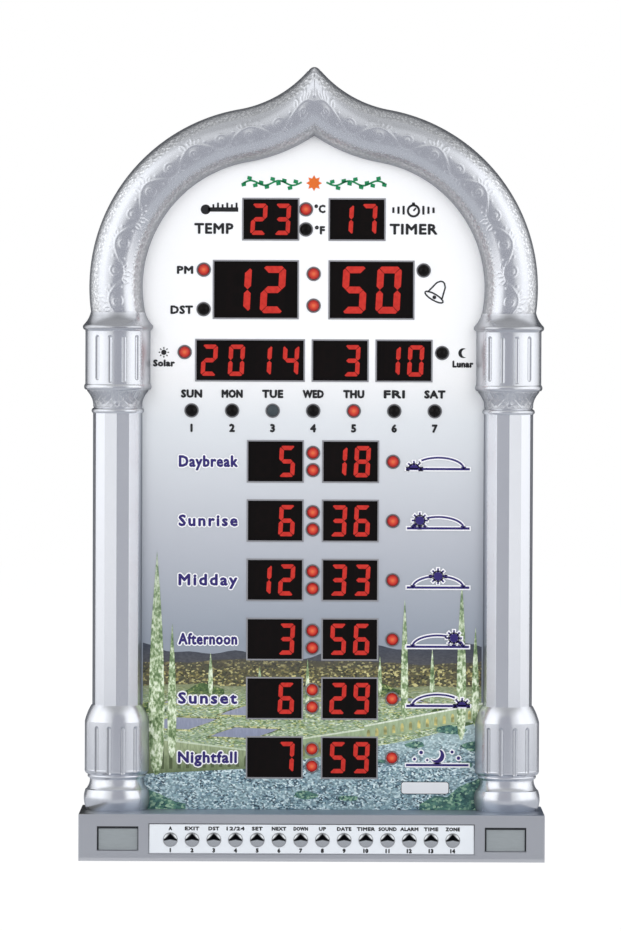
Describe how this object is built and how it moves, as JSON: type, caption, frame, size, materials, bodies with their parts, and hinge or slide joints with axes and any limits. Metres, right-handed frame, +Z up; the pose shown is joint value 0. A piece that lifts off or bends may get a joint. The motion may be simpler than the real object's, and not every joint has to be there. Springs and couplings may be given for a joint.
{
  "type": "azan clock",
  "caption": "Digital prayer-time clock for a wall or shelf: printed face with red LED displays in an ogee arch on two columns, over a plinth with a row of setting buttons.",
  "frame": {"origin": "middle of the footprint, on the surface that the clock stands on", "axes": "+Z up, -Y towards the viewer (the printed face and the buttons), +X to the viewer's right"},
  "size_m": [0.3006, 0.0692, 0.5124],
  "materials": {
    "silver_molding": "satin silver lacquer",
    "case_grey": "fine satin",
    "strip_white": "satin film",
    "badge_grey": "satin",
    "face_print": "printed sheet",
    "button_chrome": "polished",
    "display_black": "smoked",
    "segment_lit": "glowing red",
    "segment_dark": "smoked",
    "lamp_red": "glowing red",
    "lamp_black": "smoked",
    "board_green": "solder mask",
    "part_black": "moulded",
    "ribbon_grey": "flat cable",
    "steel": "zinc plated",
    "speaker_paper": "pressed paper",
    "magnet": "ferrite",
    "cell_label": "plain sleeve",
    "contact_nickel": "nickel plated"
  },
  "bodies": {
    "case": {"arch_molding": "silver_molding", "badge_plates": "badge_grey", "base_plate": "case_grey", "battery_cells": "cell_label", "battery_contacts": "contact_nickel", "board_components": "part_black", "button_strip": "strip_white", "capital_left": "silver_molding", "capital_right": "silver_molding", "case_screws": "steel", "display_countdown": "display_black", "display_day": "display_black", "display_hours": "display_black", "display_minutes": "display_black", "display_month": "display_black", "display_row_1": "display_black", "display_row_2": "display_black", "display_row_3": "display_black", "display_row_4": "display_black", "display_row_5": "display_black", "display_row_6": "display_black", "display_temperature": "display_black", "display_year": "display_black", "face_panel": "face_print", "hanger_plates": "steel", "key_board": "board_green", "lamps_dark": "lamp_black", "lamps_lit": "lamp_red", "main_board": "board_green", "pedestal_left": "silver_molding", "pedestal_right": "silver_molding", "plinth_shell": "case_grey", "power_jack": "part_black", "rear_cover": "case_grey", "ribbon_cable": "ribbon_grey", "segments_dark": "segment_dark", "segments_lit": "segment_lit", "shaft_left": "silver_molding", "shaft_right": "silver_molding", "short_screws": "steel", "speaker_basket": "steel", "speaker_cone": "speaker_paper", "speaker_magnet": "magnet", "tact_switches": "part_black"},
    "button_01": {"button_01": "button_chrome"},
    "button_02": {"button_02": "button_chrome"},
    "button_03": {"button_03": "button_chrome"},
    "button_04": {"button_04": "button_chrome"},
    "button_05": {"button_05": "button_chrome"},
    "button_06": {"button_06": "button_chrome"},
    "button_07": {"button_07": "button_chrome"},
    "button_08": {"button_08": "button_chrome"},
    "button_09": {"button_09": "button_chrome"},
    "button_10": {"button_10": "button_chrome"},
    "button_11": {"button_11": "button_chrome"},
    "button_12": {"button_12": "button_chrome"},
    "button_13": {"button_13": "button_chrome"},
    "button_14": {"button_14": "button_chrome"},
    "battery_door": {"battery_door": "case_grey"}
  },
  "joints": [
    {"name": "button_01_press", "type": "slide", "parent": "case", "child": "button_01", "axis": [0, 1, 0], "range_m": [0, 0.0005], "stiffness_N_per_m": 1500, "springref_m": -0.0005},
    {"name": "button_02_press", "type": "slide", "parent": "case", "child": "button_02", "axis": [0, 1, 0], "range_m": [0, 0.0005], "stiffness_N_per_m": 1500, "springref_m": -0.0005},
    {"name": "button_03_press", "type": "slide", "parent": "case", "child": "button_03", "axis": [0, 1, 0], "range_m": [0, 0.0005], "stiffness_N_per_m": 1500, "springref_m": -0.0005},
    {"name": "button_04_press", "type": "slide", "parent": "case", "child": "button_04", "axis": [0, 1, 0], "range_m": [0, 0.0005], "stiffness_N_per_m": 1500, "springref_m": -0.0005},
    {"name": "button_05_press", "type": "slide", "parent": "case", "child": "button_05", "axis": [0, 1, 0], "range_m": [0, 0.0005], "stiffness_N_per_m": 1500, "springref_m": -0.0005},
    {"name": "button_06_press", "type": "slide", "parent": "case", "child": "button_06", "axis": [0, 1, 0], "range_m": [0, 0.0005], "stiffness_N_per_m": 1500, "springref_m": -0.0005},
    {"name": "button_07_press", "type": "slide", "parent": "case", "child": "button_07", "axis": [0, 1, 0], "range_m": [0, 0.0005], "stiffness_N_per_m": 1500, "springref_m": -0.0005},
    {"name": "button_08_press", "type": "slide", "parent": "case", "child": "button_08", "axis": [0, 1, 0], "range_m": [0, 0.0005], "stiffness_N_per_m": 1500, "springref_m": -0.0005},
    {"name": "button_09_press", "type": "slide", "parent": "case", "child": "button_09", "axis": [0, 1, 0], "range_m": [0, 0.0005], "stiffness_N_per_m": 1500, "springref_m": -0.0005},
    {"name": "button_10_press", "type": "slide", "parent": "case", "child": "button_10", "axis": [0, 1, 0], "range_m": [0, 0.0005], "stiffness_N_per_m": 1500, "springref_m": -0.0005},
    {"name": "button_11_press", "type": "slide", "parent": "case", "child": "button_11", "axis": [0, 1, 0], "range_m": [0, 0.0005], "stiffness_N_per_m": 1500, "springref_m": -0.0005},
    {"name": "button_12_press", "type": "slide", "parent": "case", "child": "button_12", "axis": [0, 1, 0], "range_m": [0, 0.0005], "stiffness_N_per_m": 1500, "springref_m": -0.0005},
    {"name": "button_13_press", "type": "slide", "parent": "case", "child": "button_13", "axis": [0, 1, 0], "range_m": [0, 0.0005], "stiffness_N_per_m": 1500, "springref_m": -0.0005},
    {"name": "button_14_press", "type": "slide", "parent": "case", "child": "button_14", "axis": [0, 1, 0], "range_m": [0, 0.0005], "stiffness_N_per_m": 1500, "springref_m": -0.0005},
    {"name": "battery_door_slide", "type": "slide", "parent": "case", "child": "battery_door", "axis": [1, 0, 0], "range_m": [0, 0.006]}
  ]
}
